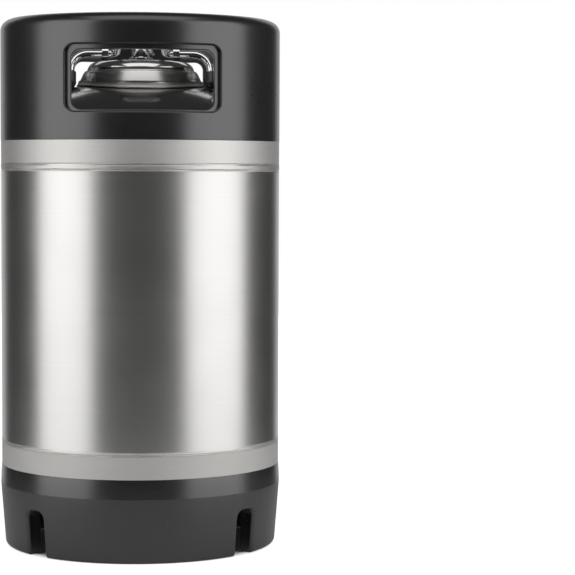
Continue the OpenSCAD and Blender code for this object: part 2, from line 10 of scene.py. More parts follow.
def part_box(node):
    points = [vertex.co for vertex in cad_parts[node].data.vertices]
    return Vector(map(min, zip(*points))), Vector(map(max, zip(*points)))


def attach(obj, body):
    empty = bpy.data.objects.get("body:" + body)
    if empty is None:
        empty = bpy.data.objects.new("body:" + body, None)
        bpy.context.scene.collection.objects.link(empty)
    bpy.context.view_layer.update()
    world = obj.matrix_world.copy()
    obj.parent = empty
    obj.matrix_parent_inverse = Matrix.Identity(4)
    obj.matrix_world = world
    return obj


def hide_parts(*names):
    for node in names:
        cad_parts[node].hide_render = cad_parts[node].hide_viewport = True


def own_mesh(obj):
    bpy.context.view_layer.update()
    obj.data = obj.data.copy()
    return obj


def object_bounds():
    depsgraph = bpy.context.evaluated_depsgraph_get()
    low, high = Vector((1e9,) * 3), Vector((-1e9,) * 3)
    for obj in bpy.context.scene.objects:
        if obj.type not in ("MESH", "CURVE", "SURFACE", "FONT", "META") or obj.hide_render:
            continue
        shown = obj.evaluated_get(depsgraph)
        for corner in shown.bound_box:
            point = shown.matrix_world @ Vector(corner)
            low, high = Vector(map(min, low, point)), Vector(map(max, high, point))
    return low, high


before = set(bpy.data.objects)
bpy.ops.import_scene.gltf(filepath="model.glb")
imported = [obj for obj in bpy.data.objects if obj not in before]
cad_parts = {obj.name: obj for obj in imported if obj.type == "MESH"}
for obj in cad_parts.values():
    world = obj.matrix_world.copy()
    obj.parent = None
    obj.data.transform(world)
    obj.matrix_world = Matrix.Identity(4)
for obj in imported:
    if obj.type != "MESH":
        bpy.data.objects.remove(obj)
cad_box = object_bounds()

MM = 0.001
TAU = 2 * math.pi

# ---------- sizes ----------


def low(node):
    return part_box(node)[0]


def high(node):
    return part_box(node)[1]


# The vessel: FIT is the play under a moulding, DEEPEST the limit of a weld's furrows
SHELL_R = high("body_shell").x
SHELL_LOW = low("body_shell").z
SHELL_HIGH = high("body_shell").z
WALL = 1.2 * MM
RING_SEAM = low("top_chime").z
BOOT_SEAM = high("bottom_boot").z
SEAM_SUM = RING_SEAM + BOOT_SEAM
CROWN_R = 185 * MM
KNUCKLE_R = 26 * MM
KNUCKLE_X = SHELL_R - KNUCKLE_R
FIT = 0.02 * MM
DEEPEST = 0.5 * MM
CROWN_Z = RING_SEAM - math.sqrt((CROWN_R - KNUCKLE_R) ** 2 - KNUCKLE_X**2)
BREAK_A = math.asin(KNUCKLE_X / (CROWN_R - KNUCKLE_R))
BREAK_R = CROWN_R * math.sin(BREAK_A)
BREAK_Z = CROWN_Z + CROWN_R * math.cos(BREAK_A)

# The top ring
RING_R = high("top_chime").x
RING_TOP = high("top_chime").z
RING_CORNER = 9 * MM
RING_LIP = 4 * MM
RING_DRAFT = 0.8 * MM
GRIP_X = 53.75 * MM
GRIP_LOW = RING_SEAM + 23 * MM
GRIP_HIGH = GRIP_LOW + 45 * MM
GRIP_CORNER = 7 * MM
FRAME_X = GRIP_X + 5 * MM
FRAME_LOW = GRIP_LOW - 1.5 * MM
FRAME_HIGH = GRIP_HIGH + 4 * MM
FRAME_DEEP = 3.5 * MM

# The boot
BOOT_R = min(cad_box[1].x - cad_box[0].x, cad_box[1].y - cad_box[0].y) / 2 - 0.02 * MM
BOOT_INNER = 97 * MM
BOOT_STEP = 36 * MM
BOOT_BREAK = 49.8 * MM
BOOT_FOOT = 107.8 * MM
NOTCH_X = 9 * MM
NOTCH_TOP = 35.5 * MM
NOTCH_CORNER = 6 * MM
NOTCH_FOOT = 3 * MM
NOTCH_MOUTH = 3.2 * MM
NOTCH_DEEP = 20 * MM
NOTCH_TURNS = (47, 131, 227, 311)

# The hatch
HATCH_X = 43.7 * MM
HATCH_Y = 53.7 * MM
END_R = 38 * MM
END_C = HATCH_Y - END_R
SIDE_R = (END_C**2 + HATCH_X**2 - END_R**2) / (2 * (HATCH_X - END_R))
SIDE_C = SIDE_R - HATCH_X
SIDE_A = math.atan2(END_C, SIDE_C)
NECK_WALL = 5.8 * MM
NECK_TOP = high("neck_ring").z
NECK_LOW = low("neck_ring").z
LID_TOP = high("lid_plate").z
LID_LOW = low("lid_plate").z
LID_FLANGE = 2 * MM
LID_WALL = 1.6 * MM

# The bail
PIVOT_Z = LID_TOP + 7 * MM
ROD_R = 2.75 * MM
LEG_X = 55.5 * MM
ARM_X = 19.5 * MM
ARM_TOP_X = 16.5 * MM
HANDLE_L = 43.5 * MM
BEND_R = 5.5 * MM
LEG_BEND_R = 14 * MM
HANDLE_BEND_R = 8 * MM
HANDLE_TILT = math.radians(16)
LEG_LEAN = math.radians(20)
FOOT_R = 4.4 * MM
FOOT_L = 9 * MM
LEG_B = 2 * math.cos(LEG_LEAN) * (PIVOT_Z - CROWN_Z)
LEG_C = LEG_X**2 + (PIVOT_Z - CROWN_Z) ** 2 - (CROWN_R + FOOT_R + 0.3 * MM) ** 2
LEG_L = (LEG_B - math.sqrt(LEG_B**2 - 4 * LEG_C)) / 2
LEG_TURN = LEG_LEAN - math.pi / 2
BRACKET_X = 28.2 * MM
BRACKET_W = 5.8 * MM

# The posts and the relief valve
POST_X = 75 * MM
POPPET_COIL = (3.9 * MM, 0.45 * MM, 6)
RELIEF_COIL = (3.4 * MM, 0.5 * MM, 8)
EYE_Z = LID_TOP + 17 * MM
RELIEF_BORE = 6.35 * MM

# ---------- mesh tools ----------


def rounded(corners, steps=5, closed=True):
    """Points of an outline in which each corner (u, v, radius) is rounded off."""
    out = []
    count = len(corners)
    for i, (u, v, r) in enumerate(corners):
        p = Vector((u, v))
        if r <= 0 or (not closed and i in (0, count - 1)):
            out.append(p)
            continue
        a = (Vector(corners[i - 1][:2]) - p).normalized()
        b = (Vector(corners[(i + 1) % count][:2]) - p).normalized()
        half = a.angle(b) / 2
        c = p + (a + b).normalized() * (r / math.sin(half))
        s = p + a * (r / math.tan(half)) - c
        e = p + b * (r / math.tan(half)) - c
        a0 = math.atan2(s.y, s.x)
        turn = (math.atan2(e.y, e.x) - a0 + math.pi) % TAU - math.pi
        for k in range(steps + 1):
            t = a0 + turn * k / steps
            out.append(c + Vector((math.cos(t), math.sin(t))) * r)
    return out


def arc(cu, cv, r, a0, a1, steps):
    turns = [a0 + (a1 - a0) * k / steps for k in range(steps + 1)]
    return [Vector((cu + r * math.cos(t), cv + r * math.sin(t))) for t in turns]


def loop_of(bm, points):
    return [bm.verts.new(p) for p in points]


def skin(bm, loops, wrap=True, close=False):
    """Quads between neighbouring loops that have the same number of points."""
    pairs = list(zip(loops, loops[1:]))
    if close:
        pairs.append((loops[-1], loops[0]))
    for a, b in pairs:
        count = len(a)
        for i in range(count if wrap else count - 1):
            j = (i + 1) % count
            quad = []
            for v in (a[i], a[j], b[j], b[i]):
                if v not in quad:
                    quad.append(v)
            if len(quad) > 2 and not bm.faces.get(quad):
                bm.faces.new(quad)


def linked(name, data):
    obj = bpy.data.objects.new(name, data)
    bpy.context.scene.collection.objects.link(obj)
    return obj


def piece(name, bm, sharp=35, outward=True):
    if outward:
        bmesh.ops.recalc_face_normals(bm, faces=bm.faces)
    mesh = bpy.data.meshes.new(name)
    bm.to_mesh(mesh)
    bm.free()
    mesh.polygons.foreach_set("use_smooth", [True] * len(mesh.polygons))
    mesh.set_sharp_from_angle(angle=math.radians(sharp))
    return linked(name, mesh)


def revolve(bm, outline, count, centre=(0, 0), closed=True):
    """Turns an outline of (radius, height) about a vertical axis."""
    x, y = centre
    turns = [TAU * i / count for i in range(count)]
    loops = []
    for r, z in outline:
        if r < 1e-7:
            loops.append([bm.verts.new((x, y, z))] * count)
            continue
        loops.append(loop_of(bm, [(x + r * math.cos(a), y + r * math.sin(a), z) for a in turns]))
    skin(bm, loops, close=closed)
    return loops


def oval(d, side=28, end=40):
    """Points of the oval at distance d outside the hatch opening's edge."""
    out = []
    for cx, cy, r, a0, a1, count in (
        (-SIDE_C, 0, SIDE_R, -SIDE_A, SIDE_A, side),
        (0, END_C, END_R, SIDE_A, math.pi - SIDE_A, end),
        (SIDE_C, 0, SIDE_R, math.pi - SIDE_A, math.pi + SIDE_A, side),
        (0, -END_C, END_R, math.pi + SIDE_A, TAU - SIDE_A, end),
    ):
        for k in range(count):
            t = a0 + (a1 - a0) * k / count
            out.append((cx + (r + d) * math.cos(t), cy + (r + d) * math.sin(t)))
    return out


def sweep_oval(bm, outline, closed=True):
    loops = [loop_of(bm, [(x, y, z) for x, y in oval(d)]) for d, z in outline]
    skin(bm, loops, close=closed)
    return loops


def tube(bm, points, radius, sides=20, caps=True):
    """A round rod along a list of points, with rounded ends."""
    pts = [Vector(p) for p in points]
    tangents = []
    for i in range(len(pts)):
        a = pts[max(i - 1, 0)]
        b = pts[min(i + 1, len(pts) - 1)]
        tangents.append((b - a).normalized())
    up = tangents[0].orthogonal().normalized()
    frames = []
    for i, t in enumerate(tangents):
        up = (up - t * up.dot(t)).normalized()
        frames.append((pts[i], t, up, t.cross(up)))
    bulge = radius * 0.45
    slopes = [k * math.pi / 10 for k in (1, 2, 3, 4)] if caps else []
    p, t, u, w = frames[0]
    rings = [(p - t * bulge * math.sin(a), u, w, radius * math.cos(a)) for a in slopes[::-1]]
    rings += [(p, u, w, radius) for p, t, u, w in frames]
    p, t, u, w = frames[-1]
    rings += [(p + t * bulge * math.sin(a), u, w, radius * math.cos(a)) for a in slopes]
    turns = [TAU * i / sides for i in range(sides)]
    loops = []
    for p, u, w, r in rings:
        loops.append(loop_of(bm, [p + (u * math.cos(a) + w * math.sin(a)) * r for a in turns]))
    skin(bm, loops)
    bm.faces.new(list(reversed(loops[0])))
    bm.faces.new(loops[-1])


def bent(corners, steps=10):
    """Points along a rod that runs straight between corners (point, radius) and bends at them."""
    out = [Vector(corners[0][0])]
    for (before, _), (p, r), (after, _) in zip(corners, corners[1:], corners[2:]):
        p = Vector(p)
        a = (Vector(before) - p).normalized()
        b = (Vector(after) - p).normalized()
        half = a.angle(b) / 2
        c = p + (a + b).normalized() * (r / math.sin(half))
        start = p + a * (r / math.tan(half)) - c
        finish = p + b * (r / math.tan(half)) - c
        turn = start.angle(finish)
        for k in range(steps + 1):
            t = k / steps
            out.append(c + (start * math.sin((1 - t) * turn) + finish * math.sin(t * turn)) / math.sin(turn))
    out.append(Vector(corners[-1][0]))
    return out


def turned(bm, rows, centre=(0, 0), corner_at=0.0, count=72):
    """A lathe shape from rows of (radius, height, apothem), which is a hex where it has an apothem.

    A hex's corners are trimmed to the radius.
    """
    loops = []
    for r, z, apothem in rows:
        ring = []
        for i in range(count):
            a = TAU * i / count
            reach = min(r, apothem / math.cos((a - corner_at) % (TAU / 6) - TAU / 12)) if apothem else r
            ring.append((centre[0] + reach * math.cos(a), centre[1] + reach * math.sin(a), z))
        loops.append(loop_of(bm, ring))
    skin(bm, loops, close=True)


def carve(obj, cutters):
    """Cuts each of the closed meshes out of an object."""
    for cut in cutters:
        bmesh.ops.recalc_face_normals(cut, faces=cut.faces)
        mesh = bpy.data.meshes.new("cut")
        cut.to_mesh(mesh)
        cut.free()
        cutter = linked("cut", mesh)
        boolean = obj.modifiers.new("cut", "BOOLEAN")
        boolean.object = cutter
        boolean.solver = "EXACT"
        bpy.context.view_layer.update()
        done = bpy.data.meshes.new_from_object(obj.evaluated_get(bpy.context.evaluated_depsgraph_get()))
        obj.modifiers.clear()
        obj.data = done
        bpy.data.objects.remove(cutter)
    obj.data.name = obj.name
    obj.data.polygons.foreach_set("use_smooth", [True] * len(obj.data.polygons))


def soften(obj, width, segments=3, angle=42):
    soft = obj.modifiers.new("soft edges", "BEVEL")
    soft.width = width
    soft.segments = segments
    soft.limit_method = "ANGLE"
    soft.angle_limit = math.radians(angle)
    soft.harden_normals = True


def move(bm, matrix):
    bmesh.ops.transform(bm, matrix=matrix, verts=bm.verts)


def place(obj, body, material, slot, *nodes):
    obj.data.materials.clear()
    obj.data.materials.append(material)
    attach(obj, body)
    if nodes:
        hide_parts(*nodes)
    return obj


# ---------- materials ----------


def shader(name):
    mat = bpy.data.materials.new(name)
    mat.use_nodes = True
    tree = mat.node_tree
    bsdf = tree.nodes["Principled BSDF"]
    return mat, tree, bsdf


def coords(tree, scale):
    where = tree.nodes.new("ShaderNodeTexCoord")
    mapping = tree.nodes.new("ShaderNodeMapping")
    mapping.inputs["Scale"].default_value = scale
    tree.links.new(where.outputs["Object"], mapping.inputs["Vector"])
    return mapping.outputs["Vector"]


def noise_of(tree, scale, size, detail=4, rough=0.6):
    n = tree.nodes.new("ShaderNodeTexNoise")
    n.inputs["Scale"].default_value = size
    n.inputs["Detail"].default_value = detail
    n.inputs["Roughness"].default_value = rough
    tree.links.new(coords(tree, scale), n.inputs["Vector"])
    return n.outputs["Fac"]


def remap(tree, value, *limits):
    """Maps a value from the first two limits to the last two."""
    m = tree.nodes.new("ShaderNodeMapRange")
    for key, limit in zip(("From Min", "From Max", "To Min", "To Max"), limits):
        m.inputs[key].default_value = limit
    tree.links.new(value, m.inputs["Value"])
    return m.outputs["Result"]


def feed(tree, socket, v):
    """Gives a socket a number, a colour or another node's output."""
    if isinstance(v, bpy.types.NodeSocket):
        tree.links.new(v, socket)
    else:
        socket.default_value = (*v, 1) if isinstance(v, tuple) else v


def maths(tree, op, a, b):
    m = tree.nodes.new("ShaderNodeMath")
    m.operation = op
    feed(tree, m.inputs[0], a)
    feed(tree, m.inputs[1], b)
    return m.outputs["Value"]


def blend_colour(tree, fac, c1, c2):
    m = tree.nodes.new("ShaderNodeMix")
    m.data_type = "RGBA"
    feed(tree, m.inputs[0], fac)
    feed(tree, m.inputs[6], c1)
    feed(tree, m.inputs[7], c2)
    return m.outputs[2]


def bumps(tree, bsdf, layers):
    """Stacks bump layers of (height, strength, distance)."""
    normal = None
    for height, strength, distance in layers:
        b = tree.nodes.new("ShaderNodeBump")
        b.inputs["Strength"].default_value = strength
        b.inputs["Distance"].default_value = distance
        tree.links.new(height, b.inputs["Height"])
        if normal:
            tree.links.new(normal, b.inputs["Normal"])
        normal = b.outputs["Normal"]
    tree.links.new(normal, bsdf.inputs["Normal"])


def metal(name, light, dark, rough, spread, grain, grain_strength, aniso=0.0, smudge=0.012):
    """Steel whose fine grain runs where the scale of its noise is small."""
    mat, tree, bsdf = shader(name)
    bsdf.inputs["Metallic"].default_value = 1.0
    bsdf.inputs["Anisotropic"].default_value = aniso
    bsdf.inputs["Anisotropic Rotation"].default_value = 0.25
    lines = noise_of(tree, grain, 1, 5, 0.7)
    cloud = noise_of(tree, (1, 1, 1), 22, 4, 0.55)
    colour = blend_colour(tree, remap(tree, lines, 0.3, 0.7, 0, 1), dark, light)
    tree.links.new(colour, bsdf.inputs["Base Color"])
    r = maths(
        tree,
        "ADD",
        remap(tree, lines, 0.25, 0.75, rough - spread, rough + spread),
        remap(tree, cloud, 0.35, 0.7, -smudge, smudge),
    )
    tree.links.new(r, bsdf.inputs["Roughness"])
    bumps(tree, bsdf, [(lines, grain_strength, 0.02 * MM)])
    return mat


def rubber(name, base, rough, pebble):
    mat, tree, bsdf = shader(name)
    bsdf.inputs["Specular IOR Level"].default_value = 1.0
    cloud = noise_of(tree, (1, 1, 1), 40, 5, 0.6)
    fine = noise_of(tree, (1, 1, 1), 900, 2, 0.5)
    dust = noise_of(tree, (1, 1, 1), 180, 3, 0.5)
    lighter = tuple(c * 1.2 + 0.001 for c in base)
    colour = blend_colour(tree, remap(tree, cloud, 0.35, 0.7, 0, 1), base, lighter)
    tree.links.new(colour, bsdf.inputs["Base Color"])
    r = maths(
        tree,
        "ADD",
        remap(tree, cloud, 0.3, 0.7, rough - 0.01, rough + 0.01),
        remap(tree, dust, 0.45, 0.8, 0, 0.02),
    )
    tree.links.new(r, bsdf.inputs["Roughness"])
    bumps(tree, bsdf, [(fine, pebble, 0.03 * MM)])
    return mat


GRAIN_ROUND = (6, 6, 5200)
GRAIN_FINE = (900, 900, 900)
GRAIN_SATIN = (14, 14, 2600)
# name, light and dark colour, roughness and its spread, grain and its strength, anisotropy
M_SHELL = metal(
    "steel_brushed", (0.60, 0.595, 0.585), (0.54, 0.535, 0.525), 0.36, 0.03, GRAIN_ROUND, 0.06, 0.4
)
M_SATIN = metal("steel_satin", (0.74, 0.73, 0.71), (0.66, 0.65, 0.635), 0.60, 0.05, GRAIN_SATIN, 0.18, 0.1)
# a rougher copy of the satin steel for the bottom head, its colour darker as painted shade because less light
# falls low on the keg
M_ROUGH_SHADED_SATIN = metal(
    "steel_satin_rough_painted_shade", (0.68, 0.67, 0.655), (0.61, 0.60, 0.585), 0.74, 0.05, GRAIN_SATIN, 0.18, 0.1
)
# painted shade: the dome's colour is darker than the other steel, standing in for the shade and dark
# reflections inside the ring
M_DOME_SHADED = metal("steel_dome_painted_shade", (0.44, 0.435, 0.425), (0.40, 0.395, 0.388), 0.14, 0.015, GRAIN_FINE, 0.02)
M_COLLAR = metal("steel_collar", (0.62, 0.61, 0.595), (0.56, 0.55, 0.54), 0.26, 0.02, (90, 90, 2600), 0.03)
M_WELD = metal("steel_weld", (0.72, 0.71, 0.69), (0.56, 0.55, 0.53), 0.50, 0.08, (60, 60, 1500), 0.30)
M_POLISH = metal("steel_polished", (0.70, 0.695, 0.68), (0.64, 0.635, 0.62), 0.17, 0.03, GRAIN_FINE, 0.05)
M_CHROME = metal(
    "chrome_plate", (0.80, 0.81, 0.82), (0.74, 0.745, 0.75), 0.08, 0.02, GRAIN_FINE, 0.03, 0, 0.01
)
M_SPRING = metal("spring_wire", (0.55, 0.55, 0.56), (0.45, 0.45, 0.46), 0.3, 0.05, GRAIN_FINE, 0.1)
M_RUBBER = rubber("moulded_rubber", (0.0125, 0.0125, 0.0135), 0.28, 0.05)
M_SEAL = rubber("seal_rubber", (0.010, 0.010, 0.010), 0.45, 0.12)

SLOT_MATERIAL = {
    "satin_steel": M_SATIN,
    "brushed_steel": M_SHELL,
    "weld_steel": M_WELD,
    "polished_steel": M_POLISH,
    "ring_rubber": M_RUBBER,
    "seal_rubber": M_SEAL,
    "chrome": M_CHROME,
    "spring_steel": M_SPRING,
}

for node_name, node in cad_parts.items():
    slot_name = node.data.materials[0].name.split(".")[0] if node.data.materials else ""
    chosen = SLOT_MATERIAL.get(slot_name, M_POLISH)
    for i in range(len(node.data.materials)):
        node.data.materials[i] = chosen

# ---------- the steel vessel ----------


def knuckle(a, side=1, offset=0):
    """The point (radius, height) on a head's knuckle at an angle from the axis: side -1 is the bottom."""
    r = KNUCKLE_R - offset
    return (KNUCKLE_X + r * math.sin(a), (RING_SEAM if side > 0 else BOOT_SEAM) + side * r * math.cos(a))


def head_rows(offset, edge_r=None, count=160, crown_steps=12):
    """Rows of points down a dished head, from its middle or from the hatch to the girth weld."""
    ring = oval(NECK_WALL - 0.6 * MM, count // 5, count * 3 // 10) if edge_r is None else None
    columns = []
    for i in range(count):
        if ring:
            x, y = ring[i]
            azimuth = math.atan2(y, x)
            start = math.asin(math.hypot(x, y) / CROWN_R)
        else:
            azimuth = TAU * i / count
            start = math.asin(edge_r / CROWN_R)
        column = []
        for k in range(crown_steps + 1):
            a = start + (BREAK_A - start) * k / crown_steps
            column.append(((CROWN_R - offset) * math.sin(a), CROWN_Z + (CROWN_R - offset) * math.cos(a)))
        for k in range(1, 13):
            a = BREAK_A + (math.pi / 2 - BREAK_A) * k / 12
            column.append(knuckle(a, 1, offset))
        column.append((SHELL_R - offset, low("top_head").z))
        columns.append([(r * math.cos(azimuth), r * math.sin(azimuth), z) for r, z in column])
    return [list(row) for row in zip(*columns)]


def make_top_head():
    """The polished dome inside the ring, in steel darkened with painted shade, and the satin skirt between the
    ring and the girth weld.
    """
    outer = head_rows(0)
    inner = head_rows(WALL)
    cut = len(outer) - 4
    halves = (("dome", slice(0, cut), M_DOME_SHADED), ("dome_skirt", slice(cut - 1, None), M_SATIN))
    for name, rows, material in halves:
        bm = bmesh.new()
        loops = [loop_of(bm, row) for row in outer[rows]] + [loop_of(bm, row) for row in inner[rows][::-1]]
        skin(bm, loops, close=True)
        place(piece(name, bm), "keg", material, "satin_steel", "top_head")


def make_bottom_head():
    bm = bmesh.new()
    flip = Matrix.Translation((0, 0, SEAM_SUM)) @ Matrix.Diagonal((1, 1, -1, 1))
    small = 1.5 * MM
    outer = [loop_of(bm, [flip @ Vector(p) for p in row]) for row in head_rows(0, small)]
    inner = [loop_of(bm, [flip @ Vector(p) for p in row]) for row in head_rows(WALL, small)]
    skin(bm, outer + inner[::-1])
    skin(bm, [inner[-1], outer[-1]])
    bm.faces.new(outer[0])
    bm.faces.new(inner[0])
    return place(piece("bottom_dome", bm), "keg", M_ROUGH_SHADED_SATIN, "satin_steel", "bottom_head")


def make_shell():
    bm = bmesh.new()
    rows = 24
    span = SHELL_HIGH - SHELL_LOW
    outline = [(SHELL_R, SHELL_LOW + span * k / rows) for k in range(rows + 1)]
    outline += [(SHELL_R - WALL, SHELL_HIGH), (SHELL_R - WALL, SHELL_LOW)]
    revolve(bm, outline, 240)
    return place(piece("steel_wall", bm), "keg", M_SHELL, "brushed_steel", "body_shell")


def furrow_depth(p, a, u, half, n, furrow):
    """Depth of the n-th furrow at an azimuth and at a share of the half width across the band."""
    at, deep, wide, turn = furrow
    slow, quick = Vector((n * 7, 0, 0)), Vector((0, n, 0))
    wander = 0.14 * noise.noise(p * 1.3 + slow) + 0.04 * noise.noise(p * 6 + quick)
    fade = 0.5 + 0.5 * math.cos(6 * a + turn) + 0.5 * noise.noise(p * 1.6 + Vector((0, n * 5, 3)))
    off = (u - at - wander) * half / (wide * MM)
    return deep * MM * min(1, max(0.1, fade)) * math.exp(-(off**2))


def make_weld(node, seed, furrows):
    """A ground girth weld: a low band with fine ripples and wandering furrows.

    A furrow is (place across the band, depth and width in mm, turn). It fades in and out six times
    round the keg.
    """
    bm = bmesh.new()
    z0, z1 = low(node).z, high(node).z
    proud = high(node).x - SHELL_R
    mid = (z0 + z1) / 2
    half = (z1 - z0) / 2
    count = 720
    across = 44
    loops = []
    for k in range(across + 1):
        u = -1 + 2 * k / across
        ring = []
        for i in range(count):
            a = TAU * i / count
            p = Vector((math.cos(a) * 3, math.sin(a) * 3, seed))
            crest = (1 - abs(u) ** 5) * (0.66 + 0.10 * math.sin(i * TAU / 4 + 2.2 * u * u))
            crest += 0.22 * noise.noise(p * 7 + Vector((5, 0, u)))
            groove = sum(furrow_depth(p, a, u, half, n, furrow) for n, furrow in enumerate(furrows))
            r = SHELL_R + max(-DEEPEST, proud * max(-0.4, min(1.0, crest)) - groove)
            ring.append((r * math.cos(a), r * math.sin(a), mid + half * u))
        loops.append(loop_of(bm, ring))
    back = SHELL_R - WALL
    turns = [TAU * i / count for i in range(count)]
    for z in (z1, z0):
        loops.append(loop_of(bm, [(back * math.cos(a), back * math.sin(a), z) for a in turns]))
    skin(bm, loops, close=True)
    return place(piece(node + "_bead", bm), "keg", M_WELD, "weld_steel", node)


# ---------- the moulded ring ----------

RING_COLUMNS = 180
PATCH_COLUMNS = 19
PATCH_ROWS = 20
CORNER_CELLS = 4


def rounded_window(half_x, z_low, z_high, corner):
    """Points around a rounded rectangle, in step with the cells around a hand-hold's patch."""
    c = CORNER_CELLS
    wide = 2 * PATCH_COLUMNS - 2 * c
    tall = PATCH_ROWS - 2 * c
    xl, xr, zl, zh = -half_x + corner, half_x - corner, z_low + corner, z_high - corner

    def eighth(cx, cz, n):
        """An eighth of a turn of a corner, from n eighths on."""
        turns = [(n + k / c) * math.pi / 4 for k in range(c)]
        return [(cx + corner * math.cos(a), cz + corner * math.sin(a)) for a in turns]

    def line(p, q, cells):
        return [(p[0] + (q[0] - p[0]) * k / cells, p[1] + (q[1] - p[1]) * k / cells) for k in range(cells)]

    out = eighth(xl, zl, 5) + line((xl, z_low), (xr, z_low), wide) + eighth(xr, zl, 6)
    out += eighth(xr, zl, 7) + line((half_x, zl), (half_x, zh), tall) + eighth(xr, zh, 0)
    out += eighth(xr, zh, 1) + line((xr, z_high), (xl, z_high), wide) + eighth(xl, zh, 2)
    out += eighth(xl, zh, 3) + line((-half_x, zh), (-half_x, zl), tall) + eighth(xl, zl, 4)
    return out


def inner_r(z):
    """Radius of the ring's inner wall, which widens a little upwards."""
    return BREAK_R + RING_DRAFT * (z - BREAK_Z) / (RING_TOP - RING_LIP - BREAK_Z)


def make_top_ring():
    bm = bmesh.new()
    # the outline, once round: up the outside, over the top, down the inside and back on the head's knuckle
    z0, z1 = RING_SEAM + 10 * MM, RING_TOP - RING_CORNER - 3 * MM
    i0, i1 = BREAK_Z + 0.05 * MM, z1
    edge = 0.7 * MM
    foot = [(RING_R - edge, RING_SEAM, 0), (RING_R, RING_SEAM, edge), (RING_R, z0, 0)]
    outline = [(p.x, p.y) for p in rounded(foot, 4, closed=False)]
    outer_first = len(outline) - 1
    outline += [(RING_R, z0 + (z1 - z0) * k / PATCH_ROWS) for k in range(1, PATCH_ROWS + 1)]
    corner_r, corner_z = RING_R - RING_CORNER, RING_TOP - RING_CORNER
    outline += [tuple(p) for p in arc(corner_r, corner_z, RING_CORNER, 0, math.pi / 2, 12)]
    lip_c = inner_r(RING_TOP) + RING_LIP
    outline += [tuple(p) for p in arc(lip_c, RING_TOP - RING_LIP, RING_LIP, math.pi / 2, math.pi, 8)]
    inner_first = len(outline)
    inner_z = [i1 + (i0 - i1) * k / PATCH_ROWS for k in range(PATCH_ROWS + 1)]
    outline += [(inner_r(z), z) for z in inner_z]
    outline += [knuckle(BREAK_A + (math.pi / 2 - BREAK_A) * k / 12, 1, -FIT) for k in range(1, 12)]
    columns = RING_COLUMNS
    turns = [TAU * j / columns for j in range(columns)]
    grid = [loop_of(bm, [(r * math.sin(a), -r * math.cos(a), z) for a in turns]) for r, z in outline]
    rows = len(outline)

    def in_patch(i, j):
        half = columns // 2
        near = min(j % half, half - 1 - j % half) < PATCH_COLUMNS
        return near and any(first <= i < first + PATCH_ROWS for first in (outer_first, inner_first))

    for i in range(rows):
        for j in range(columns):
            if not in_patch(i, j):
                k, m = (i + 1) % rows, (j + 1) % columns
                bm.faces.new((grid[i][j], grid[i][m], grid[k][m], grid[k][j]))

    def border(first, step, middle):
        """The patch's border, from its lower left corner round, seen from outside."""
        bottom = first if step > 0 else first + PATCH_ROWS
        cols = [(middle + j) % columns for j in range(-PATCH_COLUMNS, PATCH_COLUMNS + 1)]
        up = [bottom + step * k for k in range(PATCH_ROWS + 1)]
        out = [grid[up[0]][j] for j in cols[:-1]]
        out += [grid[i][cols[-1]] for i in up[:-1]]
        out += [grid[up[-1]][j] for j in cols[:0:-1]]
        out += [grid[i][cols[0]] for i in up[:0:-1]]
        return out

    def on_radius(x, z, r, side):
        return Vector((side * x, -side * math.sqrt(r * r - x * x), z))

    def window(box, d, r, side):
        half_x, z_low, z_high = box
        pts = rounded_window(half_x + d, z_low - d, z_high + d, GRIP_CORNER + d)
        return [on_radius(x, z, r(z) if callable(r) else r, side) for x, z in pts]

    def blend_rows(border_verts, target, r, side, steps):
        """Rows of points on the wall between the patch's border and the first loop of the window."""
        rows_out = []
        for s in range(1, steps):
            t = s / steps
            row = []
            for v, q in zip(border_verts, target):
                av = math.atan2(side * v.co.x, -side * v.co.y)
                aq = math.atan2(side * q.x, -side * q.y)
                a = av + (aq - av) * t
                z = v.co.z + (q.z - v.co.z) * t
                rr = r(z) if callable(r) else r
                row.append(Vector((side * rr * math.sin(a), -side * rr * math.cos(a), z)))
            rows_out.append(row)
        return rows_out

    frame_box = (FRAME_X, FRAME_LOW, FRAME_HIGH)
    grip_box = (GRIP_X, GRIP_LOW, GRIP_HIGH)
    f1, f2, f3, f4 = 1.3 * MM, 0.6 * MM, 0.85 * MM, 0.6 * MM
    quarter = [k * math.pi / 8 for k in range(5)]
    for side, middle in ((1, 0), (-1, columns // 2)):
        spec = [(frame_box, f1 * (1 - math.sin(a)), RING_R - f1 * (1 - math.cos(a))) for a in quarter]
        deep = RING_R - FRAME_DEEP
        spec += [(frame_box, -f2 * (1 - math.cos(a)), deep + f2 * (1 - math.sin(a))) for a in quarter]
        spec += [(grip_box, f3 * (1 - math.sin(a)), deep - f3 * (1 - math.cos(a))) for a in quarter]
        spec += [(grip_box, 0, deep - f3 - (deep - f3 - BREAK_R - 2 * MM) * k / 3) for k in (1, 2)]
        loops = [window(box, d, r, side) for box, d, r in spec]
        for a in quarter:

            def wall(z, back=f4 * (1 - math.sin(a))):
                return inner_r(z) + back

            loops.append(window(grip_box, f4 * (1 - math.cos(a)), wall, side))
        outer_border = border(outer_first, 1, middle)
        inner_border = border(inner_first, -1, middle)
        chain = [outer_border]
        chain += [loop_of(bm, row) for row in blend_rows(outer_border, loops[0], RING_R, side, 6)]
        chain += [loop_of(bm, row) for row in loops]
        chain += [loop_of(bm, row) for row in blend_rows(inner_border, loops[-1], inner_r, side, 6)[::-1]]
        chain += [inner_border]
        skin(bm, chain)
    return place(piece("top_ring", bm, 50), "keg", M_RUBBER, "ring_rubber", "top_chime")


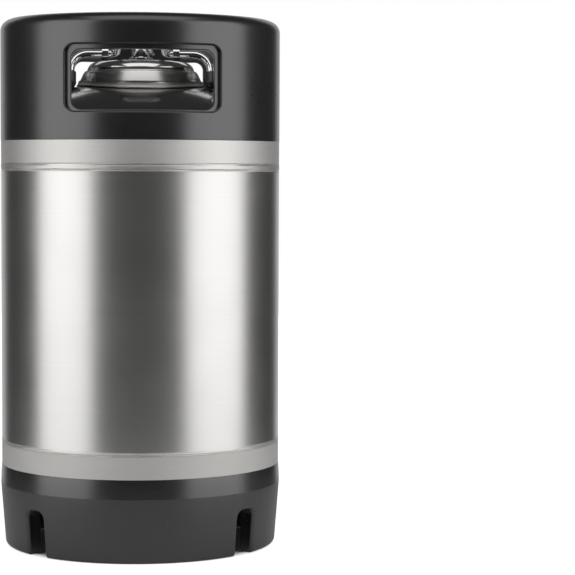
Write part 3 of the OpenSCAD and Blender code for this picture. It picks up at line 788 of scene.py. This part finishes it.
def notch_cutter(turn):
    """A notch's shape, which widens with a round edge where it meets the boot's outside."""
    flare = [(0, NOTCH_DEEP), (0, NOTCH_MOUTH + 2 * MM)]
    for k in range(9):
        a = math.radians(80) * k / 8
        flare.append((NOTCH_MOUTH * (1 - math.cos(a)), NOTCH_MOUTH * (1 - math.sin(a))))
    flare.append((NOTCH_MOUTH, -2 * MM))
    cut = bmesh.new()
    loops = []
    ground, under = -0.05 * MM, -5 * MM
    for wider, below in flare:
        x, top, corner = NOTCH_X + wider, NOTCH_TOP + wider, NOTCH_CORNER + wider
        reach = x + 6 * MM
        corners = [
            (-reach, ground, 0), (-reach, under, 0), (reach, under, 0), (reach, ground, 0),
            (x, ground, NOTCH_FOOT), (x, top, corner), (-x, top, corner), (-x, ground, NOTCH_FOOT),
        ]
        row = []
        for q in rounded(corners, 10):
            r = BOOT_FOOT + (BOOT_R - BOOT_FOOT) * q.y / BOOT_BREAK - below
            row.append((q.x, -math.sqrt(r * r - q.x**2), q.y))
        loops.append(loop_of(cut, row))
    skin(cut, loops)
    cut.faces.new(loops[0])
    cut.faces.new(loops[-1])
    move(cut, Matrix.Rotation(math.radians(turn), 4, "Z"))
    return cut


def make_boot():
    bm = bmesh.new()
    lip = SHELL_R + 0.1 * MM
    outline = rounded(
        [
            (BOOT_INNER, 0, 0.8 * MM), (BOOT_FOOT, 0, 3.5 * MM), (BOOT_R, BOOT_BREAK, 5 * MM),
            (BOOT_R - 0.3 * MM, BOOT_BREAK + 9 * MM, 90 * MM), (lip, BOOT_SEAM, 0.6 * MM),
            (lip - 1.2 * MM, BOOT_SEAM, 0),
        ],
        6,
    )
    for k in range(1, 13):
        outline.append(Vector(knuckle(math.pi / 2 - (math.pi / 2 - BREAK_A) * k / 12, -1, -FIT)))
    outline.append(Vector((BOOT_INNER, BOOT_STEP)))
    revolve(bm, outline, 180)
    boot = piece("boot", bm, 40)
    carve(boot, [notch_cutter(turn) for turn in NOTCH_TURNS])
    soften(boot, 0.5 * MM)
    return place(boot, "keg", M_RUBBER, "ring_rubber", "bottom_boot")


# ---------- the hatch ----------


def make_neck():
    bm = bmesh.new()
    land = NECK_LOW
    corners = [
        (0, land, 0.4 * MM), (8 * MM, land, 0.6 * MM), (8 * MM, land + 4 * MM, 0.6 * MM),
        (NECK_WALL, land + 4 * MM, 0.4 * MM),
    ]
    # the outside leans in by a steady angle, and rolls over at the top
    d, z, steps = NECK_WALL, NECK_TOP - 11 * MM, 21
    for k in range(steps + 1):
        corners.append((d, z, 0))
        t = (k + 0.5) / steps
        lean = 25 * min(1, t / 0.18) + 30 * max(0, t - 0.86) / 0.14
        z += 10.5 * MM / steps
        d -= math.tan(math.radians(lean)) * 10.5 * MM / steps
    corners += [(0.7 * MM, NECK_TOP, 0.25 * MM), (0, NECK_TOP, 0.45 * MM)]
    outline = rounded(corners, 5)
    sweep_oval(bm, outline)
    return place(piece("hatch_neck", bm, 50), "keg", M_COLLAR, "polished_steel", "neck_ring")


def dome_z(x, y):
    return CROWN_Z + math.sqrt(CROWN_R**2 - x * x - y * y)


def dome_weld(name, base, wide, seed):
    """A rippled weld bead on the dome, along a base line of (point, outward direction)."""
    bm = bmesh.new()
    loops = []
    rows = 8
    for k in range(rows):
        u = k / (rows - 1)
        row = []
        for i, ((x, y), (dx, dy)) in enumerate(base):
            ripple = 0.08 * MM * math.sin(i * TAU / 4 + 3 * u)
            ripple += 0.10 * MM * noise.noise(Vector((x, y, u + seed)) * 160)
            px = x + dx * wide * u
            py = y + dy * wide * u
            lift = (0.55 * wide + ripple) * math.sin(u * math.pi) - 0.1 * MM
            row.append((px, py, dome_z(px, py) + lift))
        loops.append(loop_of(bm, row))
    root = [(x + dx * wide / 2, y + dy * wide / 2, dome_z(x, y) - 0.9 * MM) for (x, y), (dx, dy) in base]
    loops.append(loop_of(bm, root))
    skin(bm, loops, close=True)
    return place(piece(name, bm), "keg", M_WELD, "weld_steel")


def make_neck_foot():
    """The flared foot of the neck, whose edge stands over the dome with a narrow gap."""
    bm = bmesh.new()
    wide, tall, rows = 1.6 * MM, 4 * MM, 10
    gap, edge, sunk = 0.7 * MM, 0.4 * MM, 0.4 * MM
    outline = [(-sunk, -2 * sunk), (sunk / 2, -2 * sunk), (sunk / 2, gap)]
    outline += [(wide - 0.1 * MM, gap), (wide, gap + 0.1 * MM)]
    rise = tall - gap - edge
    for k in range(rows + 1):
        a = math.pi / 2 * k / rows
        outline.append((FIT + wide * (1 - math.sin(a)), gap + edge + rise * (1 - math.cos(a))))
    outline.append((-sunk, tall - sunk))
    loops = []
    for d, lift in outline:
        loops.append(loop_of(bm, [(x, y, dome_z(x, y) + lift) for x, y in oval(NECK_WALL + d, 84, 120)]))
    skin(bm, loops, close=True)
    place(piece("neck_foot", bm, 50), "keg", M_WELD, "satin_steel")


def make_dome_welds():
    for name, side in (("gas_fitting_weld", -1), ("liquid_fitting_weld", 1)):
        base = []
        for i in range(120):
            a = TAU * i / 120
            r = 9.7 * MM
            base.append(((side * POST_X + r * math.cos(a), r * math.sin(a)), (math.cos(a), math.sin(a))))
        dome_weld(name, base, 1.9 * MM, side)


def make_lid():
    bm = bmesh.new()
    gap = -1 * MM
    shoulder = 8 * MM
    flat = gap - shoulder - 4 * MM
    outside = rounded(
        [
            (gap - LID_WALL, LID_LOW, 0), (6.5 * MM, LID_LOW, 0.8 * MM),
            (6.5 * MM, LID_LOW + LID_FLANGE, 0.8 * MM), (gap, LID_LOW + LID_FLANGE, 0.4 * MM),
            (gap, LID_TOP, shoulder), (flat, LID_TOP, 0),
        ],
        9,
        closed=False,
    )
    inside = rounded(
        [
            (flat, LID_TOP - LID_WALL, 0),
            (gap - LID_WALL, LID_TOP - LID_WALL, shoulder - LID_WALL),
            (gap - LID_WALL, LID_LOW, 0),
        ],
        9,
        closed=False,
    )[:-1]

    def towards_hole(t, z):
        out = []
        for x, y in oval(flat):
            a = math.atan2(y, x)
            hx, hy = RELIEF_BORE * math.cos(a), RELIEF_BORE * math.sin(a)
            out.append((x + (hx - x) * t, y + (hy - y) * t, z))
        return loop_of(bm, out)

    loops = [loop_of(bm, [(x, y, p.y) for x, y in oval(p.x)]) for p in outside]
    loops += [towards_hole(t, LID_TOP) for t in (0.35, 0.7, 1)]
    loops += [towards_hole(t, LID_TOP - LID_WALL) for t in (1, 0.7, 0.35)]
    loops += [loop_of(bm, [(x, y, p.y) for x, y in oval(p.x)]) for p in inside]
    skin(bm, loops, close=True)
    return place(piece("lid_shell", bm, 40), "lid", M_POLISH, "polished_steel", "lid_plate")


def make_seal():
    bm = bmesh.new()
    r, half = 3.5 * MM, 3.3 * MM
    mid = LID_LOW + LID_FLANGE + half
    a = math.asin(half / r)
    outline = arc(2.65 * MM, mid, r, -a, a, 12) + arc(2.65 * MM, mid, r, math.pi - a, math.pi + a, 12)
    sweep_oval(bm, outline)
    return place(piece("lid_gasket", bm, 50), "lid", M_SEAL, "seal_rubber", "lid_seal")


# ---------- the bail ----------


def make_bracket(name, side, node):
    bm = bmesh.new()

    def profile(inset):
        r, half = 6.2 * MM - inset, 5.5 * MM - inset
        a = math.acos(half / r)
        down = LID_TOP - PIVOT_Z
        top = arc(0, PIVOT_Z, r, -a, math.pi + a, 30)
        left = [Vector((-half, PIVOT_Z + down * (0.4 + 0.3 * k))) for k in range(3)]
        foot = [Vector((half * (-1 + 2 * k / 8), LID_TOP)) for k in range(1, 8)]
        right = [Vector((half, PIVOT_Z + down * (1 - 0.3 * k))) for k in range(3)]
        return top + left + foot + right

    def bore(r):
        out = []
        for p in profile(0):
            t = math.atan2(p.y - PIVOT_Z, p.x)
            out.append(Vector((r * math.cos(t), PIVOT_Z + r * math.sin(t))))
        return out

    x0, x1 = side * BRACKET_X - BRACKET_W / 2, side * BRACKET_X + BRACKET_W / 2
    edge = 0.6 * MM
    hole = ROD_R + 0.05 * MM
    quarter = [k * math.pi / 8 for k in range(5)]
    spec = [(bore(hole), x0 + 0.3 * MM), (bore(hole + 0.3 * MM), x0)]
    spec += [(profile(edge * (1 - math.sin(a))), x0 + edge * (1 - math.cos(a))) for a in quarter]
    spec += [(profile(edge * (1 - math.cos(a))), x1 - edge * (1 - math.sin(a))) for a in quarter]
    spec += [(bore(hole + 0.3 * MM), x1), (bore(hole), x1 - 0.3 * MM)]
    loops = [loop_of(bm, [(x, p.x, p.y) for p in pts]) for pts, x in spec]
    skin(bm, loops, close=True)
    return place(piece(name, bm, 50), "lid", M_CHROME, "chrome", node)


def along(direction_angle, length):
    """A point in the plane across the pivot: the angle is measured from the front, upwards."""
    return (-math.cos(direction_angle) * length, PIVOT_Z + math.sin(direction_angle) * length)


def make_bail():
    bm = bmesh.new()
    leg_end = along(LEG_TURN, LEG_L)
    handle = along(HANDLE_TILT, HANDLE_L)
    right = [
        ((ARM_TOP_X, *handle), HANDLE_BEND_R),
        ((ARM_X, 0, PIVOT_Z), BEND_R),
        ((LEG_X, 0, PIVOT_Z), LEG_BEND_R),
        ((LEG_X, *leg_end), 0),
    ]
    left = [((-p[0], p[1], p[2]), r) for p, r in reversed(right)]
    tube(bm, bent(left + right), ROD_R, 28)
    return place(piece("wire_bail", bm, 60), "bail", M_CHROME, "chrome", "lid_bail")


def make_foot(name, side, node):
    """A rubber foot: round where it presses on the dome, open where the leg goes in."""
    bm = bmesh.new()
    outline = arc(0, 0, FOOT_R, math.pi / 2, 0, 10)
    outline += rounded(
        [
            (FOOT_R - 0.15 * MM, -0.8 * MM, 0), (FOOT_R - 0.15 * MM, -FOOT_L, 0.9 * MM),
            (ROD_R + 0.03 * MM, -FOOT_L, 0.5 * MM), (ROD_R + 0.03 * MM, -FOOT_L + 2 * MM, 0),
        ],
        6,
        closed=False,
    )
    outline.append(Vector((0, -FOOT_L + 2 * MM)))
    revolve(bm, outline, 40, closed=False)
    y, z = along(LEG_TURN, LEG_L)
    direction = Vector((0, y, z - PIVOT_Z)).normalized()
    turn = Vector((0, 0, 1)).rotation_difference(direction).to_matrix().to_4x4()
    move(bm, Matrix.Translation((side * LEG_X, y, z)) @ turn)
    return place(piece(name, bm, 50), "bail", M_SEAL, "seal_rubber", node)


# ---------- the relief valve ----------


def flat_rows(rows, base):
    return [(r * MM, base + z * MM, apothem * MM if apothem else None) for r, z, apothem in rows]


def make_relief_body():
    """The valve's hexagonal body, with four vents in its barrel."""
    bm = bmesh.new()
    flats = 9.8 * math.cos(math.pi / 6)
    rows = [
        (5.9, -18, 0), (6.3, -17.6, 0), (6.3, 0, 0), (8.9, 0, flats), (9.65, 0.5, flats),
        (9.65, 3.2, flats), (9.0, 3.8, flats), (8.4, 4.0, 0), (7.7, 4.05, 0), (7.3, 4.4, 0),
        (7.3, 7, 0), (7.3, 10.9, 0), (7.15, 11.5, 0), (6.7, 11.9, 0), (6.2, 12, 0), (2.4, 12, 0),
        (2.05, 11.7, 0), (2.05, 9, 0), (4.7, 9, 0), (4.7, -13, 0), (3.2, -13, 0), (3.2, -18, 0),
    ]
    turned(bm, flat_rows(rows, LID_TOP))
    body = piece("relief_body", bm, 35)
    vent_r, vent_z = 1.2 * MM, LID_TOP + 5.5 * MM
    cuts = []
    for turn in (32, -32, 148, 212):
        cut = bmesh.new()
        a = math.radians(turn)
        side = Vector((math.sin(a), -math.cos(a), 0))
        start = Vector((0, 0, vent_z)) + side * 3 * MM
        tube(cut, [start, start + side * 6 * MM], vent_r, 24, caps=False)
        cuts.append(cut)
    carve(body, cuts)
    body.data.set_sharp_from_angle(angle=math.radians(35))
    place(body, "lid", M_CHROME, "chrome", "prv_body")


def make_relief_nut():
    bm = bmesh.new()
    flats = 11.5 * math.cos(math.pi / 6)
    rows = [(10.2, 0, flats), (11.3, 0.7, flats), (11.3, 3.9, flats), (10.2, 4.6, flats)]
    rows += [(6.6, 4.6, 0), (6.3, 4.3, 0), (6.3, 0.3, 0), (6.6, 0, 0)]
    turned(bm, flat_rows(rows, low("prv_nut").z))
    place(piece("relief_nut", bm, 35), "lid", M_POLISH, "polished_steel", "prv_nut")


def make_relief_plunger():
    """The rod with the collar that carries the spring, and the eye for the pull ring."""
    bm = bmesh.new()
    rod, flange, tip = 2 * MM, 4.1 * MM, EYE_Z - 2.1 * MM
    end = low("prv_stem").z
    collar = end + 4.05 * MM
    outline = rounded(
        [
            (0, end, 0), (rod, end, 0.4 * MM), (rod, collar, 0), (flange, collar, 0.3 * MM),
            (flange, collar + 2 * MM, 0.3 * MM), (rod, collar + 2 * MM, 0), (rod, tip, 0.2 * MM),
            (0, tip, 0),
        ],
        4,
        closed=False,
    )
    revolve(bm, outline, 40, closed=False)
    place(piece("relief_stem", bm, 40), "relief_plunger", M_CHROME, "chrome", "prv_stem")

    bm = bmesh.new()
    bore, rim, half = 1.35 * MM, 3 * MM, 1.5 * MM
    corners = [(bore, -half, 0.5 * MM), (rim, -half, 0.6 * MM), (rim, half, 0.6 * MM), (bore, half, 0.5 * MM)]
    eye = rounded(corners, 4)
    revolve(bm, eye, 48)
    move(bm, Matrix.Translation((0, 0, EYE_Z)) @ Matrix.Rotation(math.pi / 2, 4, "X"))
    place(piece("relief_eye", bm, 50), "relief_plunger", M_CHROME, "chrome", "prv_stem")


def make_pull_ring():
    """A split ring: two turns of wire side by side, which cross over at one place."""
    bm = bmesh.new()
    mean, wire = 7.55 * MM, 0.46 * MM
    points = []
    steps = 150
    for k in range(steps + 1):
        turn = 20 + 680 * k / steps
        t = min(1, max(0, (turn - 345) / 30))
        lift = (t * t * (3 - 2 * t) * 2 - 1) * 0.44 * MM
        a = math.radians(turn)
        points.append((mean * math.cos(a), mean * math.sin(a), lift))
    tube(bm, points, wire, 12)
    hang = Matrix.Rotation(math.radians(45), 4, "Y") @ Matrix.Translation((7.2 * MM, 0, 0))
    move(bm, Matrix.Translation((0, 0, EYE_Z)) @ hang)
    return place(piece("split_ring", bm, 60), "pull_ring", M_CHROME, "chrome", "prv_pull_ring")


# ---------- the posts ----------


def make_post(side, prefix, node, grooved):
    bm = bmesh.new()
    flats = 11.1
    corner = flats / math.cos(math.pi / 6) - 0.12
    rows = [(11.2, 41.5, flats), (corner, 42.3, flats), (corner, 45.3, flats)]
    if grooved:
        rows += [(corner, 45.48, flats), (11.5, 45.75, flats), (corner, 46.02, flats)]
    rows += [(corner, 46.4, flats), (corner, 49.2, flats), (11.2, 50, flats)]
    plug = rounded(
        [
            (10.6, 50, 0), (8.25, 50, 0.3), (8.25, 53, 0.3), (7.6, 54, 0.5), (7.6, 57.5, 0.5),
            (8.25, 58.5, 0.3), (8.25, 64, 0.2), (6.05, 64, 0.3), (6.05, 66.9, 0.3),
            (8.25, 66.9, 0.2), (8.25, 71.3, 0.5), (7.45, 72, 0.5), (2.7, 72, 0.4), (2.7, 67.5, 0),
            (4.9, 67.5, 0), (4.9, 53.2, 0), (7.55, 53.2, 0), (7.55, 41.5, 0), (9.5, 41.5, 0),
        ],
        4,
        closed=False,
    )
    rows += [(p.x, p.y, 0) for p in plug]
    turned(bm, flat_rows(rows, RING_SEAM), (side * POST_X, 0), math.pi / 6)
    return place(piece(prefix + "_plug", bm, 30), "keg", M_POLISH, "polished_steel", node)


def make_fitting(side, prefix, node):
    bm = bmesh.new()
    corners = [(9.8, 26, 0.4), (9.8, 41.5, 0.9), (7.5, 41.5, 0.2)]
    corners += [(7.5, 49.6, 0.5), (4.2, 49.6, 0.3), (4.2, 26, 0.3)]
    outline = rounded(corners, 4)
    revolve(bm, [(p.x * MM, RING_SEAM + p.y * MM) for p in outline], 72, (side * POST_X, 0))
    return place(piece(prefix + "_stud", bm, 40), "keg", M_POLISH, "polished_steel", node)


def make_post_ring(side, prefix, node):
    bm = bmesh.new()
    r = 1.31 * MM
    outline = arc(6.05 * MM + r, RING_SEAM + 65.45 * MM, r, 0, TAU, 20)[:-1]
    revolve(bm, outline, 72, (side * POST_X, 0))
    return place(piece(prefix + "_ring_seal", bm, 50), "keg", M_SEAL, "seal_rubber", node)


def make_poppet(side, prefix, body, node):
    bm = bmesh.new()
    top = 67.45
    outline = rounded(
        [
            (0, top - 8.5, 0), (2.7, top - 8.5, 0.3), (2.7, top - 3, 0.2), (4.5, top - 3, 0.3),
            (4.5, top, 0.8), (2.2, top, 0.2), (2.2, 71.6, 1.1), (0, 71.6, 0),
        ],
        5,
        closed=False,
    )
    revolve(bm, [(p.x * MM, RING_SEAM + p.y * MM) for p in outline], 40, (side * POST_X, 0), closed=False)
    return place(piece(prefix + "_valve_pin", bm, 40), body, M_CHROME, "polished_steel", node)


def make_spring(name, body, node, x, coil):
    """A coil of (radius, wire, turns) with a closed turn at each end."""
    coil_r, wire, turns = coil
    bm = bmesh.new()
    foot, head = low(node).z, high(node).z
    closed = 2.1 * wire
    pitch = (head - foot - 2 * wire - 2 * closed) / (turns - 2)
    steps = 28
    points = []
    for k in range(turns * steps + 1):
        t = k / steps
        ends = closed * (min(t, 1) + max(t - turns + 1, 0))
        z = foot + wire + ends + pitch * min(max(t - 1, 0), turns - 2)
        points.append((x + coil_r * math.cos(TAU * t), coil_r * math.sin(TAU * t), z))
    tube(bm, points, wire, 10)
    spring = place(piece(name, bm, 60), body, M_SPRING, "spring_steel", node)
    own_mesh(spring)


make_top_head()
make_bottom_head()
make_shell()
make_weld("upper_weld", 3, ((0.55, 0.75, 0.42, math.pi), (-0.62, 0.7, 0.4, 0), (0.93, 0.4, 0.25, 0)))
make_weld("lower_weld", 11, ((0.5, 0.5, 0.3, math.pi), (-0.55, 0.5, 0.3, 0)))
make_top_ring()
make_boot()
make_neck()
make_neck_foot()
make_dome_welds()
make_lid()
make_seal()
make_bracket("left_bracket", -1, "bail_bracket_left")
make_bracket("right_bracket", 1, "bail_bracket_right")
make_bail()
make_foot("left_foot", -1, "bail_foot_left")
make_foot("right_foot", 1, "bail_foot_right")
make_relief_body()
make_relief_nut()
make_relief_plunger()
make_pull_ring()
for side, prefix in ((-1, "gas"), (1, "liquid")):
    make_post(side, prefix, prefix + "_post", side < 0)
    make_fitting(side, prefix, prefix + "_fitting")
    make_post_ring(side, prefix, prefix + "_post_oring")
    make_poppet(side, prefix, prefix + "_valve", prefix + "_poppet")
    spring = prefix + "_poppet_spring"
    make_spring(prefix + "_coil", "keg", spring, side * POST_X, POPPET_COIL)
make_spring("relief_coil", "lid", "prv_spring", 0, RELIEF_COIL)

# ---------- stage, light and camera ----------

TABLE_R = 0.38
FLOOR_GLOW = 0.78
WORLD_GLOW = 0.045
SENSOR = 36
LENS = 129.8
CAMERA_AWAY = 1.66722
CAMERA_HEIGHT = 0.2994
CAMERA_AZIMUTH = math.radians(-1.014)
HEADING = math.radians(5.07)
PITCH = math.radians(3.26)
ROLL = math.radians(0.233)
# name, azimuth from the camera's side, distance, height of its middle, width and height of the panel,
# radiance, and the height it is aimed at when that differs
LAMPS = (
    ("soft_left", -64, 1.25, 0.55, 1.13, 1.5, 1.9, None),
    ("soft_right", 62, 1.25, 0.55, 1.27, 1.5, 1.9, None),
    ("overhead", -1, 0.8, 1.9, 2.1, 1.3, 1.2, 0.4),
    ("backdrop", 180, 2.6, 0.7, 3.3, 2.8, 0.8, None),
)


def paper():
    """White paper that looks nearly white from the camera, without lighting the keg more than paper would."""
    mat, tree, bsdf = shader("floor_paper")
    cloud = noise_of(tree, (1, 1, 1), 6, 3, 0.5)
    colour = blend_colour(tree, cloud, (0.86, 0.86, 0.86), (0.90, 0.90, 0.90))
    tree.links.new(colour, bsdf.inputs["Base Color"])
    bsdf.inputs["Roughness"].default_value = 0.8
    bsdf.inputs["Specular IOR Level"].default_value = 0.2
    glow = tree.nodes.new("ShaderNodeEmission")
    path = tree.nodes.new("ShaderNodeLightPath")
    away = tree.nodes.new("ShaderNodeVectorMath")
    away.operation = "LENGTH"
    tree.links.new(coords(tree, (1, 1, 0)), away.inputs[0])
    reach = remap(tree, away.outputs["Value"], 0.15, 1.2, FLOOR_GLOW, 1.0)
    clear = remap(tree, away.outputs["Value"], BOOT_INNER, BOOT_FOOT, 0, 1)
    seen = maths(tree, "MULTIPLY", clear, path.outputs["Is Camera Ray"])
    tree.links.new(maths(tree, "MULTIPLY", reach, seen), glow.inputs["Strength"])
    add = tree.nodes.new("ShaderNodeAddShader")
    tree.links.new(bsdf.outputs["BSDF"], add.inputs[0])
    tree.links.new(glow.outputs["Emission"], add.inputs[1])
    tree.links.new(add.outputs["Shader"], tree.nodes["Material Output"].inputs["Surface"])
    return mat


def make_floor():
    """A round table that the keg sees mirrored in itself, and paper beyond it that only the camera sees."""
    material = paper()
    for name, radii in (("floor", (0.05, 0.2, TABLE_R)), ("floor_beyond", (TABLE_R, 1.0, 4.0))):
        bm = bmesh.new()
        turns = [TAU * i / 96 for i in range(96)]
        loops = [loop_of(bm, [(r * math.cos(a), r * math.sin(a), -0.2 * MM) for a in turns]) for r in radii]
        skin(bm, loops)
        if name == "floor":
            bm.faces.new(loops[0])
        for f in bm.faces:
            f.normal_update()
            if f.normal.z < 0:
                f.normal_flip()
        ground = piece(name, bm, outward=False)
        ground.data.materials.append(material)
        if name != "floor":
            ground.visible_glossy = False
            ground.visible_diffuse = False
            ground.visible_shadow = False


def soft_box(name, azimuth, distance, centre_z, wide, tall, power, target_z=None):
    """An area light that stands at an azimuth from the camera's side and looks at the keg."""
    data = bpy.data.lights.new(name, "AREA")
    data.shape = "RECTANGLE"
    data.size = wide
    data.size_y = tall
    data.energy = power
    lamp = linked(name, data)
    a = math.radians(azimuth)
    spot = Vector((distance * math.sin(a), -distance * math.cos(a), centre_z))
    aim = Vector((0, 0, centre_z if target_z is None else target_z)) - spot
    lamp.location = spot
    lamp.rotation_euler = aim.to_track_quat("-Z", "Y").to_euler()
    lamp.visible_camera = False
    return lamp


def make_light():
    for name, azimuth, distance, z, wide, tall, radiance, aim in LAMPS:
        soft_box(name, azimuth, distance, z, wide, tall, radiance * math.pi * wide * tall, aim)
    world = bpy.data.worlds.new("studio")
    world.use_nodes = True
    tree = world.node_tree
    back = tree.nodes["Background"]
    seen = tree.nodes.new("ShaderNodeBackground")
    for white, strength in ((back, WORLD_GLOW), (seen, 1.0)):
        white.inputs["Color"].default_value = (1, 1, 1, 1)
        white.inputs["Strength"].default_value = strength
    path = tree.nodes.new("ShaderNodeLightPath")
    mix = tree.nodes.new("ShaderNodeMixShader")
    tree.links.new(path.outputs["Is Camera Ray"], mix.inputs["Fac"])
    tree.links.new(back.outputs["Background"], mix.inputs[1])
    tree.links.new(seen.outputs["Background"], mix.inputs[2])
    tree.links.new(mix.outputs["Shader"], tree.nodes["World Output"].inputs["Surface"])
    bpy.context.scene.world = world


def make_camera():
    """The camera at the photograph's place, which looks a little past the keg to its right."""
    data = bpy.data.cameras.new("camera")
    data.sensor_width = SENSOR
    data.lens = LENS
    camera = linked("camera", data)
    flat = math.cos(PITCH)
    forward = Vector((math.sin(HEADING) * flat, math.cos(HEADING) * flat, -math.sin(PITCH)))
    level = Vector((math.cos(HEADING), -math.sin(HEADING), 0))
    rise = level.cross(forward)
    right = level * math.cos(ROLL) + rise * math.sin(ROLL)
    up = rise * math.cos(ROLL) - level * math.sin(ROLL)
    m = Matrix((right, up, -forward)).transposed().to_4x4()
    x, y = CAMERA_AWAY * math.sin(CAMERA_AZIMUTH), -CAMERA_AWAY * math.cos(CAMERA_AZIMUTH)
    m.translation = (x, y, CAMERA_HEIGHT)
    camera.matrix_world = m
    bpy.context.scene.camera = camera
    bpy.context.scene.view_settings.view_transform = "Standard"
    bpy.context.scene.view_settings.look = "None"


make_floor()
make_light()
make_camera()
